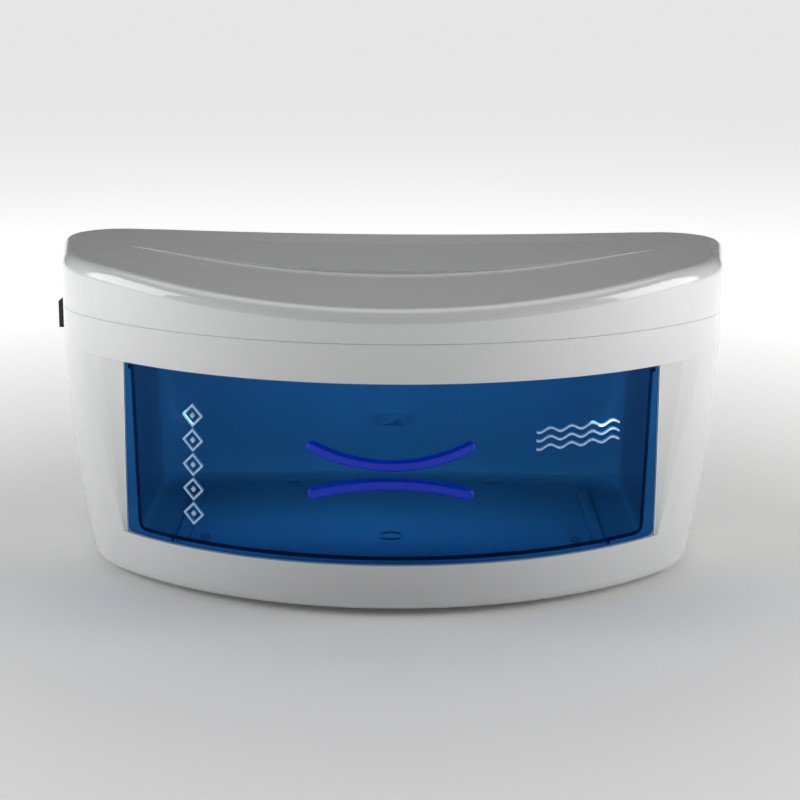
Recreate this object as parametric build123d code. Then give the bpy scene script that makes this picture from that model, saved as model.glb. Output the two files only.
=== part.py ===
from build123d import *
import math
import os

os.makedirs("parts", exist_ok=True)

# ---------------------------------------------------------------- dimensions, millimetres
# x is the cabinet's right, y its back, z up; origin on the ground plane under the middle
Y_FRONT = -110.0        # foremost point of the bowed front
Y_BACK = 110.0          # flat back
Z_BASE = 3.0            # underside of the housing, on its feet
Z_SEAM = 145.0          # joint between top cover and main body
Z_RIM = 174.4           # height of the top at its rear corners
W_TOP, W_BASE = 188.0, 169.6      # half widths before the flare, at the shoulder and at the base
R_TOP, R_BASE = 226.0, 210.5      # radius of the bowed front in plan
R_REAR = 35.0           # rear corners in plan
FLARE = math.radians(9.5)         # the side walls spread towards the back
T = 2.6                 # housing wall
R_RIM = 7.0             # rounding of the top edge
DISH_F, DISH_R = 12.2, 3.3        # how far the top dips at the middle, front and rear
SILL, BROW = 27.7, 124.5          # bottom and top of the drawer opening
OPEN_X = 145.0          # half width of the opening
RECESS_T = 2.4          # wall behind the recessed front
CH_X = 146.0            # inner half width of the chamber
CH_BACK = 73.0          # inner face of the chamber's back wall
CH_FLOOR = 27.5         # chamber floor, top face
DECK = 125.6            # underside of the deck over the chamber
TRAY_Z = 29.5           # underside of the tray floor
TRAY_H = 121.0          # rim of the tray
TRAVEL = 130.0          # drawer travel
LAMP_Y, LAMP_Z = -4.0, 141.0
LAMP_R = 8.0            # 16 mm tube
LAMP_L = 288.0          # glass and caps, without pins


def out(node, shape):
    solids = shape.solids()
    export_step(Compound(children=list(solids)) if len(solids) > 1 else solids[0], "parts/" + node + ".step")
    print(node, len(solids), round(sum(s.volume for s in solids)), flush=True)


def box(x0, x1, y0, y1, z0, z1):
    return Pos((x0 + x1) / 2, (y0 + y1) / 2, (z0 + z1) / 2) * Box(x1 - x0, y1 - y0, z1 - z0)


def rod(p, axis, r, length):
    """A cylinder from p along one axis, '+x', '-y' and so on."""
    d = {"x": (1, 0, 0), "y": (0, 1, 0), "z": (0, 0, 1)}[axis[1]]
    s = 1 if axis[0] == "+" else -1
    return Plane(origin=p, z_dir=tuple(s * c for c in d)) * Cylinder(r, length, align=(Align.CENTER, Align.CENTER, Align.MIN))


def ring(p, axis, r1, r0, length):
    d = {"x": (1, 0, 0), "y": (0, 1, 0), "z": (0, 0, 1)}[axis[1]]
    s = 1 if axis[0] == "+" else -1
    pl = Plane(origin=p, z_dir=tuple(s * c for c in d))
    a = (Align.CENTER, Align.CENTER, Align.MIN)
    return pl * (Cylinder(r1, length, align=a) - Pos(0, 0, -1) * Cylinder(r0, length + 2, align=a))


def soften(shape, edges, radii):
    """The largest of the radii that the modeller accepts on these edges."""
    for r in radii:
        try:
            got = fillet(edges, r)
            if got.solids() and all(s.is_valid for s in got.solids()):
                return got
        except Exception:
            pass
    print("  left sharp", len(edges))
    return shape


# ---------------------------------------------------------------- housing outline
def plan(z):
    """Half width and front radius of the outline at a height."""
    if z < 140:
        w = W_TOP - (W_TOP - W_BASE) * ((140 - z) / 137) ** 2.2
        r = R_TOP - (R_TOP - R_BASE) * ((140 - z) / 137) ** 1.8
    else:
        w = W_TOP - 0.0008 * (z - 140) ** 2
        r = R_TOP
    return w, r


def side_arc(z):
    """Join and size of the tighter arcs beside the bowed front, and where the flared sides take off."""
    w, r = plan(z)
    xj = 0.8855 * w
    phi = math.asin(xj / r)
    rs = (w - xj) / (1 - xj / r)
    ys = Y_FRONT + r * (1 - math.cos(phi)) + rs * math.cos(phi)
    return w, r, phi, rs, ys, w - rs + rs * math.cos(FLARE), ys - rs * math.sin(FLARE)


def rear_corner(z):
    """Centre of a rear corner's arc at a height."""
    x0, y0 = side_arc(z)[5:]
    cy = Y_BACK - R_REAR
    return x0 + (math.sin(FLARE) * (cy - y0) - R_REAR) / math.cos(FLARE), cy


def wall_x(y, z):
    """Outer half width of the flared side wall."""
    x0, y0 = side_arc(z)[5:]
    return x0 + (y - y0) * math.tan(FLARE)


def outline(z, off):
    """D-shaped outline at a height, moved in by off: bowed front, tighter sides, straight back."""
    w, r, phi, rs, ys, _, _ = side_arc(z)
    b = -(math.pi / 2 - phi)

    def pf(a):
        return ((r - off) * math.sin(a), Y_FRONT + r - (r - off) * math.cos(a), z)

    def ps(a, s):
        return (s * (w - rs + (rs - off) * math.cos(a)), ys + (rs - off) * math.sin(a), z)

    cx, cy = rear_corner(z)

    def pc(a, s):
        return (s * (cx + (R_REAR - off) * math.cos(a)), cy + (R_REAR - off) * math.sin(a), z)

    d, q = -FLARE, math.pi / 2
    m, n = (b + d) / 2, (d + q) / 2
    return Wire([
        Edge.make_three_point_arc(pf(-phi), pf(0), pf(phi)),
        Edge.make_three_point_arc(pf(phi), ps(m, 1), ps(d, 1)),
        Edge.make_line(ps(d, 1), pc(d, 1)),
        Edge.make_three_point_arc(pc(d, 1), pc(n, 1), pc(q, 1)),
        Edge.make_line(pc(q, 1), pc(q, -1)),
        Edge.make_three_point_arc(pc(q, -1), pc(n, -1), pc(d, -1)),
        Edge.make_line(pc(d, -1), ps(d, -1)),
        Edge.make_three_point_arc(ps(d, -1), ps(m, -1), pf(-phi)),
    ])


def hull(off, levels):
    """A solid through the outlines at these heights."""
    return Solid.make_loft([outline(z, off) for z in levels], ruled=len(levels) == 2)


# ---------------------------------------------------------------- top surface
def dip(x):
    s = abs(x)
    if s < 130:
        return 1 - (s / 158.0) ** 2
    if s < 192:
        return 0.323 * (1 - (s - 130) / 62.0) ** 2
    return 0.0


def dish(y):
    """Dip of the front region, carried back under the raised rear region."""
    f = (y - Y_FRONT) / 200.0
    if f < 0.49:
        return DISH_F - (DISH_F - 8.9) * f / 0.49
    return 8.9 - (8.9 - DISH_R) * min(1.15, (f - 0.49) / 0.51)


def top_z(x, y):
    return Z_RIM - dish(y) * dip(x)


def height_field(fn, x0, x1, y0, y1, nx, ny):
    rows = [[Vector(x0 + (x1 - x0) * i / (nx - 1), y0 + (y1 - y0) * j / (ny - 1), 0) for j in range(ny)] for i in range(nx)]
    rows = [[Vector(p.X, p.Y, fn(p.X, p.Y)) for p in r] for r in rows]
    return Face.make_surface_from_array_of_points(rows, tol=0.02, min_deg=3, max_deg=3)


above_top = extrude(height_field(top_z, -215, 215, -135, 135, 35, 25), 70, dir=(0, 0, 1))
above_inner = extrude(height_field(lambda x, y: top_z(x, y) - T, -215, 215, -135, 135, 35, 25), 70, dir=(0, 0, 1))

LEVELS = (Z_BASE, 26, 49, 72, 95, 118, 141, 164, 187)


def rim_edges(shape):
    return [e for e in shape.edges() if e.center().Z > 150 and e.bounding_box().max.Z < 176]


outer = hull(0, LEVELS) - above_top
outer = soften(outer, rim_edges(outer), (R_RIM, 6.5, 6.0, 5.0))
low = [e for e in outer.edges() if e.bounding_box().max.Z < Z_BASE + 0.01]
outer = soften(outer, low, (5.0, 4.0, 3.0))
print("outer", outer.solids()[0].is_valid, len(outer.solids()), outer.volume, flush=True)
inner = (hull(T, LEVELS) & box(-250, 250, -150, 150, Z_BASE + 2.6, 200)) - above_inner
inner = soften(inner, rim_edges(inner), (R_RIM - T, 4.0, 3.5))
print("inner", inner.solids()[0].is_valid, len(inner.solids()), inner.volume, flush=True)

# the raised rear region of the top: a shallow step along an arc, fading out sideways and to the rear
STEP_R, STEP_Y = 275.0, -12.0


def pad_z(x, y):
    fx = 1 - (x / 155.0) ** 2
    fy = 1 - max(0.0, y - STEP_Y) / 86.0
    rise = 1.9 * fx * fy if fx > 0 and fy > 0 else 1.9 * (min(fx, 0) + min(fy, 0))
    return top_z(x, y) + rise


pad_plan = Pos(0, STEP_Y + STEP_R, 150) * Cylinder(STEP_R, 60) & box(-160, 160, -40, 84, 140, 190)
under_pad = extrude(height_field(pad_z, -170, 170, -60, 110, 41, 35), -12, dir=(0, 0, 1))
pad = pad_plan & under_pad & box(-160, 160, -40, 84, 140, 190)
outer_stepped = outer + (pad & box(-159, 159, -40, 83, 150, 190))
good = len(outer_stepped.solids()) == 1 and outer_stepped.solids()[0].is_valid
print("step", good, len(outer_stepped.solids()))
if good:
    outer = outer_stepped

# ---------------------------------------------------------------- recessed front
def recess_row(z):
    """Setback of the recessed front and the outer end of its side facets at a height."""
    f = (z - SILL) / (BROW - SILL)
    return 1.0 + 5.0 * f, 147.0 + 19.0 * f


def recess_profile(z, grow):
    """Outline in front of the recessed face at height z, moved back by grow."""
    r = plan(z)[1]
    yc = Y_FRONT + r
    s, xc = recess_row(z)
    ra = r - s - grow
    x0 = OPEN_X + 0.5
    y0 = yc - math.sqrt(ra * ra - x0 * x0)
    # facet from the opening's edge to the outer skin, in three flats that soften its end
    px, py = x0, yc - math.sqrt((r - s) ** 2 - x0 * x0)
    hx, hy = xc, yc - math.sqrt(r * r - xc * xc)
    dx, dy = hx - px, hy - py
    n = math.hypot(dx, dy)
    gx, gy = -grow * dy / n, grow * dx / n
    m = math.hypot(hx, yc - hy)
    tx, ty = (yc - hy) / m, hx / m
    q1 = (px + 0.66 * dx, py + 0.66 * dy)
    q2 = (q1[0] + 0.42 * (dx * 0.62 + n * tx * 0.38), q1[1] + 0.42 * (dy * 0.62 + n * ty * 0.38))
    q3 = (q2[0] + 0.5 * (dx * 0.35 + n * tx * 0.65), q2[1] + 0.5 * (dy * 0.35 + n * ty * 0.65))
    q4 = (q3[0] + 16 * dx / n + 6, q3[1] + 16 * dy / n)
    side = [(q[0] + gx, q[1] + gy) for q in (q1, q2, q3, q4)]
    return ra, yc, (x0, y0), side


def front_wire(z, grow):
    ra, yc, p0, side = recess_profile(z, grow)
    e = [Edge.make_three_point_arc((-p0[0], p0[1], z), (0, yc - ra, z), (p0[0], p0[1], z))]
    run = [p0] + side + [(side[-1][0], -170.0)]
    right = [(x, y, z) for x, y in run]
    left = [(-x, y, z) for x, y in reversed(run)]
    chain = right + left
    for a, b in zip(chain, chain[1:]):
        e.append(Edge.make_line(a, b))
    return Wire(e)


def in_front(z0, z1, grow):
    """Everything in front of the recessed surface moved back by grow, between two heights."""
    n = 4 if z1 - z0 > 60 else 2
    return Solid.make_loft([front_wire(z0 + (z1 - z0) * k / (n - 1), grow) for k in range(n)], ruled=n == 2)


body = outer & box(-250, 250, -150, 150, 0, Z_SEAM - 0.1)
body = body - in_front(SILL, BROW, 0)
print("recessed", body.solids()[0].is_valid, len(body.solids()))
cavity = inner & box(-250, 250, -150, 150, 0, Z_SEAM + 0.3)
cavity = cavity - in_front(SILL - 2.4, BROW + 2.4, RECESS_T)
body = body - cavity
body = body - box(-OPEN_X, OPEN_X, -150, -20, SILL, BROW)
# opening in the underside for the base plate, in two steps
body = body - hull(12.0, (Z_BASE - 1, Z_BASE + 2.6)) - hull(18.0, (Z_BASE - 1, Z_BASE + 7))
ledge = (hull(T - 0.3, (Z_BASE + 2.6, Z_BASE + 5)) - hull(18.0, (Z_BASE - 1, Z_BASE + 7)))
body = body + ledge
PLATE_SCREWS = ((-161.5, 45), (161.5, 45), (0, 94.6), (-74, -79.0), (74, -79.0))
for x, y in PLATE_SCREWS:
    body = body - rod((x, y, 0), "+z", 1.25, 14)
POSTS = ((-157, 8), (157, 8), (-157, 88), (157, 88))
for x, y in POSTS:
    body = body + rod((x, y, Z_BASE + 2.6), "+z", 4.5, 137.0 - Z_BASE - 2.6)
for x, y in POSTS:
    body = body - rod((x, y, 0), "+z", 1.7, 150) - rod((x, y, 0), "+z", 3.6, 12)
# rocker switch hole in the left wall, power inlet hole in the back wall
SW_Y, SW_Z = 30.0, 135.0
WALL_X = 0.25 - wall_x(SW_Y + 5.6, SW_Z)      # reference plane of the switch in the flared wall
body = body - box(-215, -160, SW_Y - 4.9, SW_Y + 4.9, SW_Z - 7.0, SW_Z + 7.0)
body = body - box(-215, WALL_X + 1.85, SW_Y - 5.7, SW_Y + 5.7, SW_Z - 7.9, SW_Z + 7.9)
print("WALL_X", round(WALL_X, 3), [round(wall_x(45, z), 2) for z in (3, 8, 135)])
IN_X, IN_Z = 120.0, 24.0
body = body - box(IN_X - 9.7, IN_X + 9.7, 100, 120, IN_Z - 5.7, IN_Z + 5.7)
# vent slots low in the back wall
for k in range(7):
    x = -126 + 12 * k
    body = body - box(x, x + 3, 100, 120, 14, 40)
# small bosses inside the back wall for the ballast and the terminal block
BOSS = ((-88, 20), (-12, 20), (40, 20), (68, 20))
for x, z in BOSS:
    body = body + rod((x, 98.0, z), "+y", 3.0, 10.0) - rod((x, 97.0, z), "+y", 1.25, 9.5)
out("main_body", body)

# ---------------------------------------------------------------- top cover
cover = outer & box(-250, 250, -150, 150, Z_SEAM + 0.1, 200)
cover = cover - inner
lip = hull(T + 0.25, (Z_SEAM - 3.8, Z_SEAM + 4)) - hull(T + 1.9, (Z_SEAM - 5, Z_SEAM + 5))
lip_link = hull(T - 0.4, (Z_SEAM + 0.1, Z_SEAM + 4)) - hull(T + 1.9, (Z_SEAM - 5, Z_SEAM + 5))
cover = cover + lip + lip_link
for x, y in POSTS:
    cover = cover + (rod((x, y, 137.4), "+z", 4.5, 60) - above_inner)
    cover = cover + (rod((x, y, 168), "+z", 4.5, 10) & (box(-250, 250, -150, 150, 160, 200) - above_inner))
for x, y in POSTS:
    cover = cover - rod((x, y, 137.0), "+z", 1.25, 14)
# stiffening ribs under the top, and the seats of the reflector screws
for x in (-110, 110):
    cover = cover + ((box(x - 0.8, x + 0.8, 45, 100, 158, 190)) - above_inner)
cover = cover - box(-215, -160, 30.0 - 6.4, 30.0 + 6.4, 138, 143.6)
out("top_cover", cover)

# ---------------------------------------------------------------- base plate and feet
plate = hull(12.3, (Z_BASE, Z_BASE + 2.3))
FEET = ((-120, 78), (120, 78), (-100, -40), (100, -40))
for x, y in FEET:
    plate = plate - rod((x, y, 0), "+z", 3.0, 10)
for k in range(9):
    x = -40 + 10 * k
    plate = plate - box(x - 1.5, x + 1.5, -10, 40, 0, 10)
for x, y in PLATE_SCREWS:
    plate = plate - rod((x, y, 0), "+z", 1.9, 10)
    plate = plate - rod((x, y, Z_BASE - 0.1), "+z", 3.4, 1.3)
out("base_plate", plate)

feet = None
for x, y in FEET:
    f = rod((x, y, 0), "+z", 8.0, 3.0)
    f = f + rod((x, y, 3.0), "+z", 2.9, 3.0) + Pos(x, y, 6.9) * Cone(4.2, 2.2, 1.8)
    f = soften(f, [e for e in f.edges() if e.center().Z < 0.1], (1.0, 0.6))
    f = f - rod((x, y, -0.1), "+z", 3.0, 1.1)
    feet = f if feet is None else feet + f
out("rubber_feet", feet)


def pan_screw(x, y, z, r_head, h_head, r, length, up):
    """Pan-head cross-recess screw, head underside at z, shank towards up."""
    s = 1 if up else -1
    a = "+z" if up else "-z"
    b = "-z" if up else "+z"
    q = rod((x, y, z), a, r, length) + rod((x, y, z), b, r_head, h_head)
    tip = z - s * h_head
    q = q - box(x - 0.4, x + 0.4, y - r_head * 0.6, y + r_head * 0.6, min(tip, tip + s * 0.7), max(tip, tip + s * 0.7))
    q = q - box(x - r_head * 0.6, x + r_head * 0.6, y - 0.4, y + 0.4, min(tip, tip + s * 0.7), max(tip, tip + s * 0.7))
    return q


screws = None
for x, y in PLATE_SCREWS:
    s = pan_screw(x, y, Z_BASE + 1.2, 3.1, 1.1, 1.2, 5.6, True)
    screws = s if screws is None else screws + s
out("base_screws", screws)
screws = None
for x, y in POSTS:
    s = rod((x, y, 12.0), "+z", 1.24, 136.0) + rod((x, y, 12.0), "-z", 3.2, 2.4)
    s = s - box(x - 0.5, x + 0.5, y - 2, y + 2, 9.5, 10.5) - box(x - 2, x + 2, y - 0.5, y + 0.5, 9.5, 10.5)
    screws = s if screws is None else screws + s
out("cover_screws", screws)

# ---------------------------------------------------------------- chamber
def behind(y_extra, z0, z1):
    """The space behind the recessed wall, less y_extra more."""
    return box(-250, 250, -150, 150, z0, z1) - in_front(z0, z1, RECESS_T + y_extra)


room = behind(0.3, CH_FLOOR - 2.2, DECK + 2.0)
outer_box = Pos(0, 0, 0) * extrude(Plane.XY.offset(CH_FLOOR - 2.2) * RectangleRounded(2 * (CH_X + 2.0), 2 * (CH_BACK + 2.0), 14), DECK + 2.0 - CH_FLOOR + 2.2)
inner_box = extrude(Plane.XY.offset(CH_FLOOR) * RectangleRounded(2 * CH_X, 2 * CH_BACK, 12), DECK - CH_FLOOR)
front_fill_o = box(-CH_X - 2.0, CH_X + 2.0, -112, 0, CH_FLOOR - 2.2, DECK + 2.0)
front_fill_i = box(-CH_X, CH_X, -114, 0, CH_FLOOR, DECK)
liner = ((outer_box + front_fill_o) - (inner_box + front_fill_i)) & room
liner = liner & hull(T + 0.4, LEVELS)
# lamp window in the deck
WIN_Y0, WIN_Y1, WIN_X = LAMP_Y - 24, LAMP_Y + 24, 134.0
liner = liner - box(-WIN_X, WIN_X, WIN_Y0, WIN_Y1, DECK - 1, DECK + 5)
for x in (-128, 128):
    for y in (WIN_Y0 - 6, WIN_Y1 + 6):
        liner = liner - rod((x, y, DECK - 1), "+z", 1.1, 6)
for x in (-60, 60):
    liner = liner - rod((x, CH_BACK - 2, 110), "+y", 1.1, 8)
# holes of the stop blocks
STOPS = ((-60, -86), (60, -86))
for x, y in STOPS:
    liner = liner - rod((x, y, 20), "+z", 1.3, 20)
# screw seats in the floor's side flanges, held on posts of the base
out("chamber_liner", liner)

rails = {}
for name, s in (("guide_rail_left", -1), ("guide_rail_right", 1)):
    g = box(s * 114 - 2.4, s * 114 + 2.4, -69.5, 44, CH_FLOOR, TRAY_Z - 0.1)
    g = soften(g, [e for e in g.edges() if abs(e.center().Z - (TRAY_Z - 0.1)) < 0.01 and e.length > 20], (0.6, 0.4))
    out(name, g)

stops = None
for x, y in STOPS:
    s = box(x - 5, x + 5, y - 2.5, y + 2.5, CH_FLOOR, CH_FLOOR + 1.6) + rod((x, y, CH_FLOOR), "-z", 1.25, 3.2) + rod((x, y, CH_FLOOR - 2.2), "-z", 2.2, 1.0)
    stops = s if stops is None else stops + s
out("drawer_stops", stops)

# ---------------------------------------------------------------- drawer
GAP = 0.6
P_T = 2.6               # thickness of the drawer front
PX = OPEN_X - 0.7


def front_slab(z0, z1, y_a, y_b):
    """The shell between two surfaces parallel to the recessed front."""
    return in_front(z0, z1, y_b) - in_front(z0 - 1, z1 + 1, y_a)


panel = front_slab(SILL + GAP, BROW - GAP, 0.3, 0.3 + P_T) & box(-PX, PX, -140, 0, 0, 200)
print("panel", len(panel.solids()), panel.solids()[0].is_valid)
corner = [e for e in panel.edges() if abs(abs(e.center().X) - PX) < 0.5 and e.length < 5]
panel = soften(panel, corner, (3.0, 2.0, 1.0))
out("drawer_front", panel)

# tray: trough with splayed side walls
def trough(off, z_lo, z_hi, back, cr):
    """Splayed prism: half width grows with height."""
    def sec(z):
        hx = 138.3 + (z - TRAY_Z) * 0.034 - off
        return z, hx
    faces = []
    for z in (z_lo, z_hi):
        _, hx = sec(z)
        faces.append(Plane.XY.offset(z) * make_plan(hx, back - off, cr))
    return loft(faces, ruled=True)


def make_plan(hx, back, cr):
    """D-shaped tray plan: open to the front, shallow arc at the back, rounded corners."""
    yb = back - 10.0
    pts = Wire([
        Edge.make_line((-hx, -130), (hx, -130)),
        Edge.make_line((hx, -130), (hx, back - 33.0)),
        Edge.make_three_point_arc((hx, back - 33.0), (hx - 3.6, back - 21.0), (hx - 13.0, back - 12.6)),
        Edge.make_three_point_arc((hx - 13.0, back - 12.6), (0, back), (-hx + 13.0, back - 12.6)),
        Edge.make_three_point_arc((-hx + 13.0, back - 12.6), (-hx + 3.6, back - 21.0), (-hx, back - 33.0)),
        Edge.make_line((-hx, back - 33.0), (-hx, -130)),
    ])
    return Face(pts)


T_BACK = 67.5
TW = 2.2
shell = trough(0, TRAY_Z, TRAY_H, T_BACK, 0)
low = [e for e in shell.edges() if abs(e.center().Z - TRAY_Z) < 0.01 and e.center().Y > -129]
shell = soften(shell, low, (5.0, 4.0, 3.0, 2.0))
hollow = trough(TW, TRAY_Z + TW, TRAY_H + 5, T_BACK, 0)
low = [e for e in hollow.edges() if abs(e.center().Z - TRAY_Z - TW) < 0.01 and e.center().Y > -129]
hollow = soften(hollow, low, (3.0, 2.0, 1.0))
keep = box(-250, 250, -150, 150, TRAY_Z - 5, TRAY_H + 10) - in_front(TRAY_Z - 5, TRAY_H + 10, 0.3 + P_T)
tray = (shell - hollow) & keep
# rolled rim along the side and back walls
rim_o = trough(-1.6, TRAY_H - 2.4, TRAY_H, T_BACK, 0)
rim_i = trough(TW - 0.01, TRAY_H - 4, TRAY_H + 2, T_BACK, 0)
tray = tray + ((rim_o - rim_i) & keep)
# runner ribs each side of the guide rails
for s in (-1, 1):
    for e in (-1, 1):
        xc = s * 114 + e * 4.0
        rib = box(xc - 0.8, xc + 0.8, -71, 34, CH_FLOOR + 0.5, TRAY_Z + 1.0)
        tray = tray + rib
# stop lugs under the rear of the floor
for x, y in STOPS:
    tray = tray + box(x - 4, x + 4, y + 2.5 + TRAVEL + 0.1, y + 5.5 + TRAVEL + 0.1, CH_FLOOR + 0.5, TRAY_Z + 0.5)
# gate mark of the moulding under the floor
tray = tray + (Pos(0, -62, TRAY_Z) * Cylinder(7.0, 1.0) - Pos(0, -62, TRAY_Z - 0.5) * Cylinder(5.6, 1.0))
# tabs that the drawer front is welded to
for s in (-1, 1):
    for x0 in (99,):
        t = box(s * x0 - 2.6, s * x0 + 2.6, -112, 0, TRAY_Z + TW - 0.2, TRAY_Z + TW + 3)
        zz = TRAY_Z + TW + 3
        r = plan(zz)[1]
        yf = Y_FRONT + r - math.sqrt((r - recess_row(zz)[0]) ** 2 - x0 * x0) + 0.3 + P_T
        t = t & box(-250, 250, yf - 6, yf + 3.4, 0, 100)
        tray = tray + (t & (box(-250, 250, -150, 150, TRAY_Z, 60) - in_front(TRAY_Z, 60, 0.3 + P_T)))
tray = tray - in_front(26.5, TRAY_H + 11, 0.3 + P_T + 0.05)
print("tray", len(tray.solids()), tray.solids()[0].is_valid)
out("drawer_tray", tray)


def grip(zc_mid, sag, half, width):
    """Curved bar on the drawer front; sag > 0 smiles."""
    up = 1 if sag > 0 else -1
    rr = (half ** 2 + sag ** 2) / (2 * abs(sag))
    zc = zc_mid + up * rr
    a = math.asin(half / rr)

    def pt(r, t):
        return (r * math.sin(t), zc - up * r * math.cos(t))

    r0, r1 = rr - width / 2, rr + width / 2
    e = [
        Edge.make_three_point_arc((*pt(r1, -a), 0), (*pt(r1, 0), 0), (*pt(r1, a), 0)),
        Edge.make_three_point_arc((*pt(r1, a), 0), (pt(rr, a)[0] + width / 2 * math.cos(a), pt(rr, a)[1] + up * width / 2 * math.sin(a), 0), (*pt(r0, a), 0)),
        Edge.make_three_point_arc((*pt(r0, a), 0), (*pt(r0, 0), 0), (*pt(r0, -a), 0)),
        Edge.make_three_point_arc((*pt(r0, -a), 0), (-pt(rr, a)[0] - width / 2 * math.cos(a), pt(rr, a)[1] + up * width / 2 * math.sin(a), 0), (*pt(r1, -a), 0)),
    ]
    f = Face(Wire(e))
    f = Plane(origin=(0, -90, 0), x_dir=(1, 0, 0), z_dir=(0, -1, 0)) * f
    bar = extrude(f, 40, dir=(0, -1, 0))
    lo, hi = SILL + GAP - 1, BROW - GAP + 1
    return (bar & in_front(lo, hi, 0.29)) - in_front(lo - 1, hi + 1, -3.4)


gu = grip(81.0, 9.0, 40.6, 5.6)
gl = grip(71.4, -6.0, 40.2, 5.8)
for name, g in (("upper_grip", gu), ("lower_grip", gl)):
    sol = g.solids()[0]
    yf = min(v.Y for v in sol.vertices())
    best = max(sol.faces(), key=lambda f: -f.center().Y)
    g2 = soften(sol, list(best.edges()), (1.3, 1.0, 0.7, 0.4))
    out(name, g2)

magnet = box(-9, 9, T_BACK, T_BACK + 2.5, 60, 66)
out("drawer_magnet", magnet)

# ---------------------------------------------------------------- rocker switch on the left side
bz = box(WALL_X - 1.6, WALL_X + 1.75, SW_Y - 5.6, SW_Y + 5.6, SW_Z - 7.8, SW_Z + 7.8)
bz = soften(bz, [e for e in bz.edges() if abs(e.center().X - WALL_X + 1.6) < 0.01], (0.6, 0.4))
bz = bz + box(WALL_X - 0.3, WALL_X + 17.0, SW_Y - 4.7, SW_Y + 4.7, SW_Z - 6.8, SW_Z + 6.8)
bz = bz - box(WALL_X - 3, WALL_X + 6.5, SW_Y - 3.9, SW_Y + 3.9, SW_Z - 5.9, SW_Z + 5.9)
for z in (SW_Z - 3.5, SW_Z + 3.5):
    bz = bz + box(WALL_X + 16.9, WALL_X + 23.0, SW_Y - 2.4, SW_Y + 2.4, z - 0.4, z + 0.4)
out("switch_body", bz)
TILT = 9.0
prof = Plane.XZ.offset(-(SW_Y + 3.7)) * Polyline((0, 0), (1, 0))
pv = (WALL_X + 3.2, SW_Y, SW_Z)
# rocker section in its own frame: u outwards, w up; two flats meeting at a shallow valley
sec = [(-2.2, -5.3), (-2.2, 5.3), (2.6, 5.5), (1.9, 2.6), (1.7, 0.0), (1.9, -2.6), (2.6, -5.5)]
wire = Wire([Edge.make_line((a[0], a[1], 0), (b[0], b[1], 0)) for a, b in zip(sec, sec[1:] + sec[:1])])
key = extrude(Face(wire), 7.2, dir=(0, 0, 1))
key = key + Pos(0, 0, -0.35) * Cylinder(0.9, 7.9, align=(Align.CENTER, Align.CENTER, Align.MIN))
pl = Plane(origin=(pv[0], SW_Y - 3.6, pv[2]), x_dir=(-math.cos(math.radians(TILT)), 0, -math.sin(math.radians(TILT))), z_dir=(0, 1, 0))
key = pl * key
key = key & box(pv[0] - 20, pv[0] + 3, SW_Y - 3.8, SW_Y + 3.8, SW_Z - 12, SW_Z + 12)
out("rocker", key)

# ---------------------------------------------------------------- power inlet, figure-of-eight, on the back
YB = Y_BACK
inlet = box(IN_X - 13, IN_X + 13, YB + 0.1, YB + 1.9, IN_Z - 8.5, IN_Z + 8.5)
inlet = soften(inlet, [e for e in inlet.edges() if abs(e.center().Y - YB - 1.9) < 0.01], (0.8, 0.5))
inlet = inlet + box(IN_X - 9.4, IN_X + 9.4, YB - 16, YB + 0.2, IN_Z - 5.4, IN_Z + 5.4)
eye = box(IN_X - 3.7, IN_X + 3.7, YB - 12.5, YB + 5, IN_Z - 2.4, IN_Z + 2.4)
for s in (-1, 1):
    eye = eye + rod((IN_X + s * 4.1, YB - 12.5, IN_Z), "+y", 3.6, 20)
inlet = inlet - eye
for s in (-1, 1):
    inlet = inlet - rod((IN_X + s * 4.3, YB - 20, IN_Z), "+y", 1.2, 9)
out("power_inlet", inlet)
pins = None
for s in (-1, 1):
    p = rod((IN_X + s * 4.3, YB - 22, IN_Z), "+y", 1.18, 20.5)
    p = soften(p, [e for e in p.edges() if abs(e.center().Y - (YB - 1.5)) < 0.01], (0.7, 0.4))
    pins = p if pins is None else pins + p
out("inlet_pins", pins)

# ---------------------------------------------------------------- lamp
lamp = rod((-LAMP_L / 2 + 9, LAMP_Y, LAMP_Z), "+x", LAMP_R - 0.3, LAMP_L - 18) - rod((-LAMP_L / 2 + 10, LAMP_Y, LAMP_Z), "+x", LAMP_R - 1.3, LAMP_L - 20)
out("uv_lamp_tube", lamp)
caps = None
pins = None
for s in (-1, 1):
    a = "+x" if s > 0 else "-x"
    x_in = s * (LAMP_L / 2 - 10)
    c = rod((x_in, LAMP_Y, LAMP_Z), a, LAMP_R, 10) - rod((x_in - s * 1, LAMP_Y, LAMP_Z), a, LAMP_R - 0.28, 10)
    caps = c if caps is None else caps + c
    for e in (-1, 1):
        p = rod((s * (LAMP_L / 2 + 0.02), LAMP_Y, LAMP_Z + e * 2.5), a, 1.15, 6.6)
        pins = p if pins is None else pins + p
out("lamp_end_caps", caps)
out("lamp_pins", pins)
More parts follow.
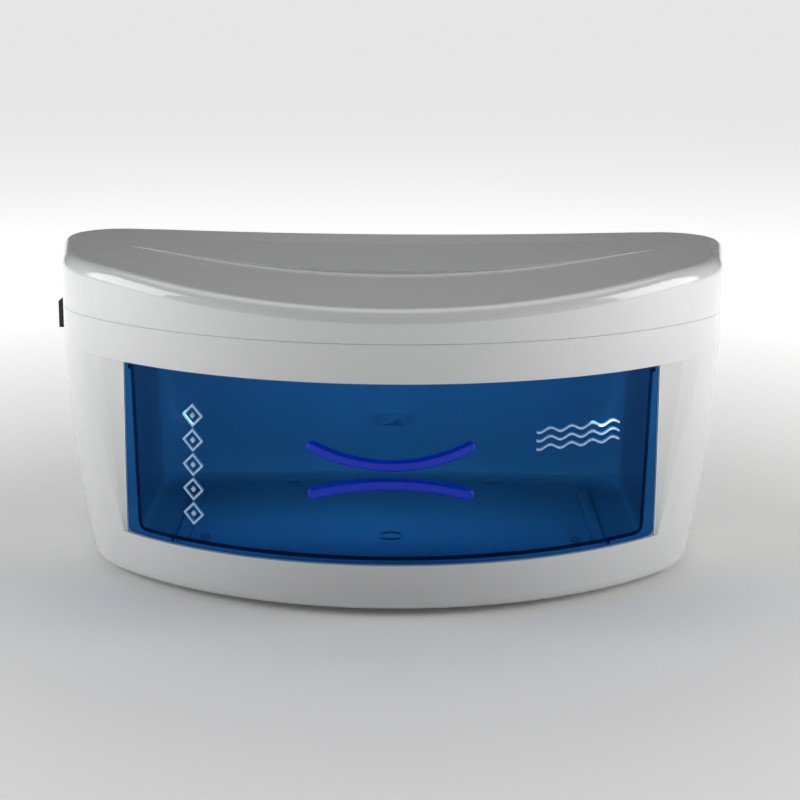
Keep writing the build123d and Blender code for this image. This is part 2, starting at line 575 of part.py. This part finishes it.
for name, s in (("lamp_holder_left", -1), ("lamp_holder_right", 1)):
    x0, x1 = sorted((s * (LAMP_L / 2 + 0.1), s * (LAMP_L / 2 + 9.0)))
    h = box(x0, x1, LAMP_Y - 8.5, LAMP_Y + 8.5, DECK + 2.0, LAMP_Z + 9.5)
    h = soften(h, [e for e in h.edges() if abs(e.center().Z - LAMP_Z - 9.5) < 0.01 and e.length < 12], (4.0, 3.0))
    f0, f1 = sorted((s * (LAMP_L / 2 + 0.1), s * (LAMP_L / 2 - 11)))
    h = h + box(f0, f1, LAMP_Y - 7.5, LAMP_Y + 7.5, DECK + 2.0, DECK + 4.2)
    xs = s * (LAMP_L / 2 + 0.0)
    a = "+x" if s > 0 else "-x"
    for e in (-1, 1):
        h = h - rod((xs - s * 0.1, LAMP_Y, LAMP_Z + e * 2.5), a, 1.3, 7.2)
    h = h - box(min(xs - s * 0.1, xs + s * 3), max(xs - s * 0.1, xs + s * 3), LAMP_Y - 1.3, LAMP_Y + 1.3, LAMP_Z - 2.5, LAMP_Z + 12)
    out(name, h)

# reflector: bent sheet over the lamp with feet on the deck
def refl(off):
    pts = [(-24 + off, 0), (-24 + off, 4 + off * 0.2), (-13 + off * 0.8, 22.5 - off), (13 - off * 0.8, 22.5 - off), (24 - off, 4 + off * 0.2), (24 - off, 0)]
    return pts


RX = 132.0
o = refl(0)
i = refl(0.7)
w = Wire([Edge.make_line((LAMP_Y + a[0], DECK + 2.0 + a[1], 0), (LAMP_Y + b[0], DECK + 2.0 + b[1], 0)) for a, b in zip(o, o[1:] + o[:1])])
w2 = Wire([Edge.make_line((LAMP_Y + a[0], DECK + 2.0 + a[1] - (0.01 if k in (0, 5) else 0), 0), (LAMP_Y + b[0], DECK + 2.0 + b[1] - (0.01 if (k + 1) % 6 in (0, 5) else 0), 0)) for k, (a, b) in enumerate(zip(i, i[1:] + i[:1]))])
pl = Plane(origin=(-RX, 0, 0), x_dir=(0, 1, 0), z_dir=(1, 0, 0))
ro = pl * extrude(Face(w), 2 * RX, dir=(0, 0, 1))
ri = pl * extrude(Face(w2), 2 * RX + 2, dir=(0, 0, 1))
reflector = ro - Pos(-1, 0, 0) * ri
for s in (-1, 1):
    y0, y1 = sorted((LAMP_Y + s * 23.4, LAMP_Y + s * 34))
    reflector = reflector + box(-RX, RX, y0, y1, DECK + 2.0, DECK + 2.7)
for x in (-128, 128):
    for y in (WIN_Y0 - 6, WIN_Y1 + 6):
        reflector = reflector - rod((x, y, DECK), "+z", 1.6, 6)
out("reflector", reflector)
screws = None
for x in (-128, 128):
    for y in (WIN_Y0 - 6, WIN_Y1 + 6):
        s = pan_screw(x, y, DECK + 2.7, 2.6, 1.6, 1.08, 4.6, False)
        screws = s if screws is None else screws + s
out("reflector_screws", screws)

# guard grid under the lamp window, clipped under the deck
grid = None
for y in (LAMP_Y - 20, LAMP_Y - 7, LAMP_Y + 7, LAMP_Y + 20):
    g = rod((-WIN_X + 0.6, y, DECK + 1.0), "+x", 0.8, 2 * WIN_X - 1.2)
    grid = g if grid is None else grid + g
for k in range(12):
    x = -126.5 + 23 * k
    grid = grid + rod((x, WIN_Y0 + 0.3, DECK + 1.0), "+y", 0.8, 47.4)
out("lamp_guard", grid)

# ---------------------------------------------------------------- ballast, starter, terminals behind the chamber
bx0, bx1 = -94, -6
ball = box(bx0 + 13, bx1 - 13, 78.2, 97.6, 11, 47)
ball = soften(ball, [e for e in ball.edges() if e.length > 30 and abs(e.center().Y - 78.2) < 0.01], (1.5, 1.0))
ball = ball + box(bx0, bx1, 96.4, 98.0, 13, 27)
for x in (-88, -12):
    ball = ball - rod((x, 90, 20), "+y", 1.7, 12)
for z in (17, 23, 29, 35, 41):
    ball = ball - box(bx0 + 12, bx1 - 12, 77, 78.9, z - 0.5, z + 0.5)
out("ballast", ball)
sc = None
for x in (-88, -12):
    s = rod((x, 96.4, 20), "-y", 2.8, 1.8) + rod((x, 96.4, 20), "+y", 1.24, 9.0)
    s = s - box(x - 0.4, x + 0.4, 94, 95.2, 18.2, 21.8) - box(x - 1.8, x + 1.8, 94, 95.2, 19.6, 20.4)
    sc = s if sc is None else sc + s
out("ballast_screws", sc)

term = box(36, 72, 86.0, 98.0, 13, 27)
for k in range(3):
    x = 46 + 8 * k
    term = term - rod((x, 80, 20), "+y", 2.3, 9) - rod((x, 92, 30), "-z", 1.5, 20)
for x in (40, 68):
    term = term - rod((x, 80, 20), "+y", 1.7, 20)
out("terminal_block", term)
sc = None
for x in (40, 68):
    s = rod((x, 86.0, 20), "-y", 2.6, 1.6) + rod((x, 86.0, 20), "+y", 1.24, 19.4)
    s = s - box(x - 0.4, x + 0.4, 84, 85.0, 18.4, 21.6)
    sc = s if sc is None else sc + s
for k in range(3):
    x = 46 + 8 * k
    s = rod((x, 88.9, 20), "-y", 2.1, 1.5)
    s = s - box(x - 0.35, x + 0.35, 87, 88.0, 18.2, 21.8)
    sc = sc + s
out("terminal_screws", sc)

# starter on the left of the deck's rear half, lying along x
ST = (-60.0, 58.0, DECK + 2.0 + 12.0)
sock = box(ST[0] - 6, ST[0] + 6, ST[1] - 13, ST[1] + 13, DECK + 2.0, ST[2] + 12)
sock = soften(sock, [e for e in sock.edges() if abs(e.center().Z - ST[2] - 12) < 0.01 and e.length < 14], (5.0, 3.0))
sock = sock - rod((ST[0] - 2, ST[1], ST[2]), "+x", 10.9, 20)
sock = sock - rod((ST[0] - 2.6, ST[1] - 6.4, ST[2]), "+x", 1.9, 3) - rod((ST[0] - 2.6, ST[1] + 6.4, ST[2]), "+x", 1.9, 3)
out("starter_socket", sock)
st = rod((ST[0] - 1.9, ST[1], ST[2]), "+x", 10.5, 38)
st = soften(st, [e for e in st.edges() if e.center().X > ST[0] + 30], (2.0, 1.0))
out("starter", st)

# sealed reed switch on the chamber's back wall, opposite the magnet of the drawer
reed = box(-13, 13, CH_BACK + 2.0, CH_BACK + 8.0, 59, 67)
reed = soften(reed, [e for e in reed.edges() if abs(e.center().Y - CH_BACK - 8) < 0.01], (1.0, 0.6))
out("reed_switch", reed)


# ---------------------------------------------------------------- internal wires, held all the way
def wire_run(pts, r, bend):
    path = FilletPolyline(*pts, radius=bend)
    return sweep(Plane(origin=path @ 0, z_dir=path % 0) * Circle(r), path=path)


WR = 0.9
w1 = wire_run(((IN_X - 4.3, 87.7, IN_Z), (IN_X - 4.3, 83.0, IN_Z), (IN_X - 4.3, 83.0, 8.4), (62, 83.0, 8.4), (62, 89.0, 8.4), (62, 89.0, 12.8)), WR, 2.2)
out("wire_inlet_line", w1)
w2 = wire_run(((IN_X + 4.3, 87.7, IN_Z), (IN_X + 4.3, 80.0, IN_Z), (IN_X + 4.3, 80.0, 10.2), (54, 80.0, 10.2), (54, 89.0, 10.2), (54, 89.0, 12.8)), WR, 1.2)
out("wire_inlet_neutral", w2)
w3 = wire_run(((46, 89.0, 27.2), (46, 89.0, 52), (-20, 89.0, 52), (-20, 89.0, 47.2)), WR, 3.0)
out("wire_terminal_ballast", w3)
tab = WALL_X + 23.1
sw1 = wire_run(((46, 93.0, 27.2), (46, 93.0, 56), (46, 98.5, 56), (-168, 98.5, 56), (-168, SW_Y, 56), (-168, SW_Y, 100), (-160, SW_Y, 100), (-160, SW_Y, SW_Z - 3.5), (tab, SW_Y, SW_Z - 3.5)), WR, 2.2)
sw2 = wire_run(((54, 93.0, 27.2), (54, 93.0, 61), (54, 101.5, 61), (-171, 101.5, 61), (-171, SW_Y + 4, 61), (-171, SW_Y + 4, 105), (-156, SW_Y + 4, 105), (-156, SW_Y + 4, 118), (-156, SW_Y, 118), (-156, SW_Y, SW_Z + 3.5), (tab, SW_Y, SW_Z + 3.5)), WR, 1.8)
out("wire_switch", sw1 + sw2)
hx = LAMP_L / 2 + 9.1
out("wire_lamp_right", wire_run(((62, 93.0, 27.2), (62, 93.0, 66), (62, 98.5, 66), (168, 98.5, 66), (168, LAMP_Y, 66), (168, LAMP_Y, 134), (hx, LAMP_Y, 134)), WR, 2.4))
out("wire_lamp_left", wire_run(((-70, 89.0, 47.2), (-70, 89.0, 70), (-70, 98.5, 70), (-164.3, 98.5, 70), (-164.3, LAMP_Y, 70), (-164.3, LAMP_Y, 134), (-hx, LAMP_Y, 134)), WR, 2.4))
out("wire_starter", wire_run(((ST[0] - 6.1, ST[1], 133), (-75, ST[1], 133), (-75, 36, 133), (-148.5, 36, 133), (-148.5, LAMP_Y + 8.6, 133)), WR, 2.4))
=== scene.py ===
import bpy
import bmesh
import math
from mathutils import Matrix, Vector

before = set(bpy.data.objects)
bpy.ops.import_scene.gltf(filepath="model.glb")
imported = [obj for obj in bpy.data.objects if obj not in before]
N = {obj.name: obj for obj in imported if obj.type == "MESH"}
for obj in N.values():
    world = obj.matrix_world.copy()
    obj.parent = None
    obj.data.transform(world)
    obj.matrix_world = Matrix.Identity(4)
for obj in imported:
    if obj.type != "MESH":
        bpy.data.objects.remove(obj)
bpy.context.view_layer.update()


# ------------------------------------------------------------------ material helpers
def new_mat(name):
    m = bpy.data.materials.new(name)
    m.use_nodes = True
    nt = m.node_tree
    for n in list(nt.nodes):
        nt.nodes.remove(n)
    out = nt.nodes.new("ShaderNodeOutputMaterial")
    p = nt.nodes.new("ShaderNodeBsdfPrincipled")
    nt.links.new(p.outputs[0], out.inputs[0])
    return m, nt, p, out


def coords(nt, scale=(1, 1, 1)):
    tc = nt.nodes.new("ShaderNodeTexCoord")
    mp = nt.nodes.new("ShaderNodeMapping")
    mp.inputs["Scale"].default_value = scale
    nt.links.new(tc.outputs["Object"], mp.inputs["Vector"])
    return mp.outputs[0]


def noise(nt, vec, scale, detail=4.0, rough=0.55, dist=0.0):
    n = nt.nodes.new("ShaderNodeTexNoise")
    n.inputs["Scale"].default_value = scale
    n.inputs["Detail"].default_value = detail
    n.inputs["Roughness"].default_value = rough
    n.inputs["Distortion"].default_value = dist
    nt.links.new(vec, n.inputs["Vector"])
    return n.outputs["Fac"]


def span(nt, fac, a, b, lo=0.0, hi=1.0):
    m = nt.nodes.new("ShaderNodeMapRange")
    m.inputs["From Min"].default_value = lo
    m.inputs["From Max"].default_value = hi
    m.inputs["To Min"].default_value = a
    m.inputs["To Max"].default_value = b
    nt.links.new(fac, m.inputs["Value"])
    return m.outputs[0]


def blend_colour(nt, fac, a, b):
    m = nt.nodes.new("ShaderNodeMix")
    m.data_type = "RGBA"
    nt.links.new(fac, m.inputs["Factor"])
    for key, v in (("A", a), ("B", b)):
        s = [i for i in m.inputs if i.name == key and i.type == "RGBA"][0]
        if isinstance(v, (tuple, list)):
            s.default_value = (*v[:3], 1)
        else:
            nt.links.new(v, s)
    return [o for o in m.outputs if o.type == "RGBA"][0]


def bump(nt, p, height, strength, distance=0.0003):
    b = nt.nodes.new("ShaderNodeBump")
    b.inputs["Strength"].default_value = strength
    b.inputs["Distance"].default_value = distance
    nt.links.new(height, b.inputs["Height"])
    nt.links.new(b.outputs[0], p.inputs["Normal"])


def edge_dirt(nt, vec, scale=60.0):
    """Faint soiling that gathers along edges, from the mesh's own pointiness."""
    g = nt.nodes.new("ShaderNodeNewGeometry")
    r = span(nt, g.outputs["Pointiness"], 1.0, 0.0, 0.44, 0.50)
    return r


def plastic(name, base, shade, rough, grain=0.15, scale=900.0, coat=0.0, spec=0.5, variation=0.35):
    """Moulded plastic: slow tone variation, a fine skin grain, slight handling haze in the roughness."""
    m, nt, p, out = new_mat(name)
    v = coords(nt)
    slow = noise(nt, v, 9.0, 3.0)
    mid = noise(nt, v, 55.0, 5.0)
    col = blend_colour(nt, span(nt, slow, 0.0, variation, 0.3, 0.7), base, shade)
    nt.links.new(col, p.inputs["Base Color"])
    r = span(nt, mid, rough * 0.82, rough * 1.22, 0.3, 0.7)
    nt.links.new(r, p.inputs["Roughness"])
    bump(nt, p, noise(nt, v, scale, 2.0), grain, 0.00004)
    p.inputs["Specular IOR Level"].default_value = spec
    p.inputs["Coat Weight"].default_value = coat
    p.inputs["Coat Roughness"].default_value = 0.06
    return m


def metal(name, base, rough, brush=None, aniso=0.0):
    m, nt, p, out = new_mat(name)
    v = coords(nt, brush or (1, 1, 1))
    n = noise(nt, v, 420.0 if brush else 160.0, 5.0)
    slow = noise(nt, coords(nt), 22.0, 3.0)
    col = blend_colour(nt, span(nt, slow, 0.0, 0.5, 0.3, 0.7), base, tuple(c * 0.82 for c in base))
    nt.links.new(col, p.inputs["Base Color"])
    nt.links.new(span(nt, n, rough * 0.7, rough * 1.35, 0.3, 0.7), p.inputs["Roughness"])
    p.inputs["Metallic"].default_value = 1.0
    bump(nt, p, n, 0.12, 0.00003)
    return m


def math_node(nt, op, a, b=None, clamp=False):
    n = nt.nodes.new("ShaderNodeMath")
    n.operation = op
    n.use_clamp = clamp
    for i, v in enumerate((a, b)):
        if v is None:
            continue
        if isinstance(v, (int, float)):
            n.inputs[i].default_value = v
        else:
            nt.links.new(v, n.inputs[i])
    return n.outputs[0]


def axes(nt, vec):
    s = nt.nodes.new("ShaderNodeSeparateXYZ")
    nt.links.new(vec, s.inputs[0])
    return s.outputs[0], s.outputs[1], s.outputs[2]


def between(nt, v, lo, hi):
    return math_node(nt, "MULTIPLY", math_node(nt, "GREATER_THAN", v, lo), math_node(nt, "LESS_THAN", v, hi))


def facing_front(nt, limit=-0.35):
    """1 where the surface looks towards the drawer's pulling side."""
    g = nt.nodes.new("ShaderNodeNewGeometry")
    _, y, _ = axes(nt, g.outputs["Normal"])
    return math_node(nt, "LESS_THAN", y, limit)


def clear_blue(name, tint, body=(0.0, 0.05, 0.12), rough=0.05, ior=1.49, least=0.05, ink_and_shade_overlay=None):
    """Transparent tinted plastic: each surface tints what passes, with a gloss over it, haze and faint flow marks."""
    m, nt, p, out = new_mat(name)
    v = coords(nt)
    haze = noise(nt, v, 14.0, 3.0)
    flow = noise(nt, coords(nt, (1.0, 1.0, 4.0)), 30.0, 3.0, 0.5, 0.6)
    tr = nt.nodes.new("ShaderNodeBsdfTransparent")
    tint_out = blend_colour(nt, span(nt, haze, 0.0, 0.35, 0.3, 0.7), tint, tuple(c * 0.93 for c in tint))
    nt.links.new(tint_out, tr.inputs["Color"])
    p.inputs["Base Color"].default_value = (*body, 1)
    p.inputs["IOR"].default_value = ior
    nt.links.new(span(nt, flow, rough * 0.7, rough * 1.6, 0.3, 0.7), p.inputs["Roughness"])
    bump(nt, p, flow, 0.06, 0.00006)
    mix = nt.nodes.new("ShaderNodeMixShader")
    lw = nt.nodes.new("ShaderNodeLayerWeight")
    lw.inputs["Blend"].default_value = 0.5
    solid = span(nt, math_node(nt, "POWER", lw.outputs["Facing"], 5.0), least, 0.95, 0.0, 1.0)
    # optional overlay mixed into the gloss layer: printed ink on the door, painted shade on the tray's front ends
    if ink_and_shade_overlay:
        ink_and_shade_colour, mask = ink_and_shade_overlay(nt, v)
        solid = math_node(nt, "MAXIMUM", solid, mask)
        nt.links.new(blend_colour(nt, mask, body, ink_and_shade_colour), p.inputs["Base Color"])
    nt.links.new(solid, mix.inputs[0])
    nt.links.new(tr.outputs[0], mix.inputs[1])
    nt.links.new(p.outputs[0], mix.inputs[2])
    nt.links.new(mix.outputs[0], out.inputs[0])
    return m


def print_motif(nt, v):
    """Pale screen print on the outer face: a column of hollow lozenges at the left, three ripple lines at the right."""
    x, _, z = axes(nt, v)
    # lozenges: 9.5 mm pitch from z 40 to 106.5 mm, centred on x -105 mm
    ax = math_node(nt, "ABSOLUTE", math_node(nt, "ADD", x, 0.105))
    cell = math_node(nt, "MODULO", math_node(nt, "SUBTRACT", z, 0.040), 0.0133)
    az = math_node(nt, "ABSOLUTE", math_node(nt, "SUBTRACT", cell, 0.00665))
    d = math_node(nt, "ADD", math_node(nt, "DIVIDE", ax, 0.0058), math_node(nt, "DIVIDE", az, 0.0062))
    loz = math_node(nt, "ADD", between(nt, d, 0.76, 1.0), math_node(nt, "LESS_THAN", d, 0.26), True)
    loz = math_node(nt, "MULTIPLY", loz, between(nt, z, 0.040, 0.1065))
    # ripples: three sine lines from x 76 to 122 mm
    s = math_node(nt, "SINE", math_node(nt, "MULTIPLY", x, 2 * math.pi / 0.0115))
    lines = None
    for zc, half in ((0.0960, 0.00050), (0.0915, 0.00050), (0.0870, 0.00050)):
        dz = math_node(nt, "ABSOLUTE", math_node(nt, "SUBTRACT", math_node(nt, "SUBTRACT", z, zc), math_node(nt, "MULTIPLY", s, 0.0011)))
        one = math_node(nt, "LESS_THAN", dz, half)
        lines = one if lines is None else math_node(nt, "MAXIMUM", lines, one)
    lines = math_node(nt, "MULTIPLY", lines, between(nt, x, 0.076, 0.122))
    mask = math_node(nt, "MAXIMUM", loz, lines)
    mask = math_node(nt, "MULTIPLY", mask, facing_front(nt))
    speck = span(nt, noise(nt, v, 900.0, 2.0), 0.80, 0.96, 0.3, 0.6)
    return (0.62, 0.78, 0.92), math_node(nt, "MULTIPLY", mask, speck)


def painted_end_shade(nt, v):
    """Painted shade on the front ends of the trough's walls and floor: a near-black colour standing in for the
    darkening where the tint is seen along its full depth.
    """
    x, y, z = axes(nt, v)
    side = math_node(nt, "GREATER_THAN", math_node(nt, "ABSOLUTE", x), 0.130)
    low = math_node(nt, "LESS_THAN", z, 0.0320)
    ends = math_node(nt, "MULTIPLY", math_node(nt, "MAXIMUM", side, low), math_node(nt, "LESS_THAN", y, 0.0))
    # painted shade: near-black at 97% strength, only on front-facing ends at the sides and along the floor's front
    return (0.0, 0.002, 0.008), math_node(nt, "MULTIPLY", math_node(nt, "MULTIPLY", facing_front(nt, -0.60), ends), 0.97)


M = {}
M["white"] = plastic("white_gloss_plastic", (0.80, 0.81, 0.81), (0.76, 0.77, 0.77), 0.13, 0.06, 1100.0, coat=0.55)
M["liner"] = plastic("white_satin_plastic", (0.78, 0.79, 0.80), (0.70, 0.71, 0.72), 0.34, 0.25, 700.0)
M["rail"] = plastic("rail_plastic", (0.82, 0.82, 0.81), (0.74, 0.74, 0.73), 0.28, 0.2, 800.0)
M["holder"] = plastic("holder_plastic", (0.76, 0.75, 0.71), (0.66, 0.65, 0.6), 0.38, 0.3, 600.0)
M["grip"] = plastic("royal_blue_gloss", (0.0, 0.035, 0.72), (0.0, 0.022, 0.55), 0.08, 0.04, 1000.0, coat=0.0, spec=0.30)
M["black"] = plastic("black_satin_plastic", (0.012, 0.012, 0.013), (0.03, 0.03, 0.03), 0.36, 0.4, 900.0)
M["black_gloss"] = plastic("black_gloss_plastic", (0.008, 0.008, 0.009), (0.02, 0.02, 0.02), 0.14, 0.1, 1000.0)
M["rubber"] = plastic("black_rubber", (0.018, 0.018, 0.018), (0.035, 0.034, 0.033), 0.72, 0.7, 500.0, spec=0.3)
M["screw"] = metal("zinc_plated_steel", (0.62, 0.62, 0.60), 0.30)
M["guard"] = metal("bright_steel_rod", (0.68, 0.68, 0.68), 0.24, (1, 12, 12))
M["brass"] = metal("bare_brass", (0.80, 0.62, 0.28), 0.25)
M["alu"] = metal("aluminium_sheet", (0.86, 0.87, 0.88), 0.20, (1, 10, 10))
M["cap"] = metal("pressed_aluminium", (0.80, 0.80, 0.80), 0.28)
M["magnet"] = metal("nickel_plate", (0.86, 0.85, 0.82), 0.48)
M["enamel"] = plastic("grey_enamel", (0.60, 0.60, 0.58), (0.52, 0.52, 0.50), 0.42, 0.4, 400.0)
M["wire_brown"] = plastic("brown_insulation", (0.12, 0.05, 0.02), (0.08, 0.03, 0.012), 0.45, 0.2, 500.0)
M["wire_blue"] = plastic("blue_insulation", (0.01, 0.06, 0.30), (0.008, 0.04, 0.2), 0.45, 0.2, 500.0)
M["wire_white"] = plastic("white_insulation", (0.72, 0.72, 0.70), (0.6, 0.6, 0.58), 0.45, 0.2, 500.0)
M["front"] = clear_blue("petrol_blue_clear", (0.22, 0.57, 0.89), least=0.05, ink_and_shade_overlay=print_motif)
# the tray's overlay paints near-black shade onto its front ends
M["tray"] = clear_blue("tray_blue_clear", (0.86, 0.95, 0.985), rough=0.08, least=0.03, ink_and_shade_overlay=painted_end_shade)

# lamp glass
m, nt, p, out = new_mat("quartz_glass")
v = coords(nt)
p.inputs["Base Color"].default_value = (0.93, 0.96, 1.0, 1)
p.inputs["Transmission Weight"].default_value = 0.92
nt.links.new(span(nt, noise(nt, v, 40.0, 4.0), 0.03, 0.10, 0.3, 0.7), p.inputs["Roughness"])
bump(nt, p, noise(nt, coords(nt, (0.2, 1, 1)), 60.0), 0.08, 0.00005)
M["quartz"] = m

USE = {
    "top_cover": "white", "main_body": "white", "base_plate": "liner", "rubber_feet": "rubber",
    "base_screws": "screw", "cover_screws": "screw", "chamber_liner": "liner",
    "guide_rail_left": "rail", "guide_rail_right": "rail", "drawer_stops": "rail",
    "drawer_tray": "tray", "drawer_front": "front", "upper_grip": "grip", "lower_grip": "grip",
    "drawer_magnet": "magnet", "switch_body": "black", "rocker": "black_gloss",
    "power_inlet": "black", "inlet_pins": "brass", "uv_lamp_tube": "quartz", "lamp_end_caps": "cap",
    "lamp_pins": "brass", "lamp_holder_left": "holder", "lamp_holder_right": "holder",
    "reflector": "alu", "reflector_screws": "screw", "lamp_guard": "guard",
    "ballast": "enamel", "ballast_screws": "screw", "starter": "rail", "starter_socket": "holder",
    "terminal_block": "holder", "terminal_screws": "screw", "reed_switch": "black",
    "wire_inlet_line": "wire_brown", "wire_inlet_neutral": "wire_blue", "wire_terminal_ballast": "wire_brown",
    "wire_switch": "wire_brown", "wire_lamp_right": "wire_white", "wire_lamp_left": "wire_white",
    "wire_starter": "wire_white",
}
for node, obj in N.items():
    obj.data.materials.clear()
    obj.data.materials.append(M[USE[node]])

# ------------------------------------------------------------------ floor, light, camera
def plane(name, size, loc, rot=(0, 0, 0)):
    bm = bmesh.new()
    bmesh.ops.create_grid(bm, x_segments=1, y_segments=1, size=0.5)
    me = bpy.data.meshes.new(name)
    bm.to_mesh(me)
    bm.free()
    o = bpy.data.objects.new(name, me)
    bpy.context.scene.collection.objects.link(o)
    o.scale = (size[0], size[1], 1)
    o.location = loc
    o.rotation_euler = rot
    return o


floor = plane("floor", (500, 500), (0, 0, 0))
m, nt, p, out = new_mat("pale_floor_painted_glow")
v = coords(nt)
nt.links.new(blend_colour(nt, noise(nt, v, 3.0, 4.0), (0.90, 0.90, 0.90), (0.93, 0.93, 0.93)), p.inputs["Base Color"])
nt.links.new(span(nt, noise(nt, v, 60.0, 4.0), 0.75, 0.85), p.inputs["Roughness"])
# Painted light: the floor glows, its emission rising from 0.02 to 0.75 with distance from the object, leaving a dimmer
# painted shade pool around the object
p.inputs["Emission Color"].default_value = (1.0, 1.0, 1.0, 1)
g = nt.nodes.new("ShaderNodeNewGeometry")
gx, gy, _ = axes(nt, g.outputs["Position"])
r2 = math_node(nt, "SQRT", math_node(nt, "ADD", math_node(nt, "MULTIPLY", gx, gx), math_node(nt, "MULTIPLY", gy, gy)))
nt.links.new(span(nt, r2, 0.02, 0.75, 0.26, 0.95), p.inputs["Emission Strength"])
floor.data.materials.append(m)


def area(name, size, loc, target, power, colour=(1, 1, 1)):
    d = bpy.data.lights.new(name, "AREA")
    d.shape = "RECTANGLE"
    d.size, d.size_y = size
    d.energy = power
    d.color = colour
    o = bpy.data.objects.new(name, d)
    bpy.context.scene.collection.objects.link(o)
    o.location = loc
    o.rotation_euler = (Vector(target) - Vector(loc)).to_track_quat("-Z", "Y").to_euler()
    return o


area("softbox_left", (0.8, 0.9), (-1.28, -0.14, 0.60), (0, 0, 0.10), 8.2)
area("softbox_right", (0.8, 0.9), (1.28, -0.14, 0.60), (0, 0, 0.10), 9.2, (1.0, 0.99, 0.98))
area("top_fill", (2.0, 1.2), (0.0, 0.5, 1.6), (0, 0, 0.10), 8.8)
fill = area("chamber_fill", (0.24, 0.03), (0.0, -0.070, 0.108), (0, 0.060, 0.050), 0.10)
fill.visible_camera = False

world = bpy.data.worlds.new("studio")
bpy.context.scene.world = world
world.use_nodes = True
bg = world.node_tree.nodes["Background"]
bg.inputs["Color"].default_value = (1.0, 1.0, 1.0, 1)
bg.inputs["Strength"].default_value = 0.05

cam_data = bpy.data.cameras.new("camera")
cam_data.sensor_width = 36.0
cam_data.lens = 36.0 * 1793.2 / 800.0
cam_data.clip_start = 0.01
cam = bpy.data.objects.new("camera", cam_data)
bpy.context.scene.collection.objects.link(cam)
cam.matrix_world = (
    Matrix.Translation((0.0046, -0.9977, 0.3234))
    @ Matrix.Rotation(math.radians(90.0 - 13.121), 4, "X")
    @ Matrix.Rotation(math.radians(0.386), 4, "Z")
)
bpy.context.scene.camera = cam
bpy.context.scene.view_settings.view_transform = "Standard"
bpy.context.scene.view_settings.look = "None"
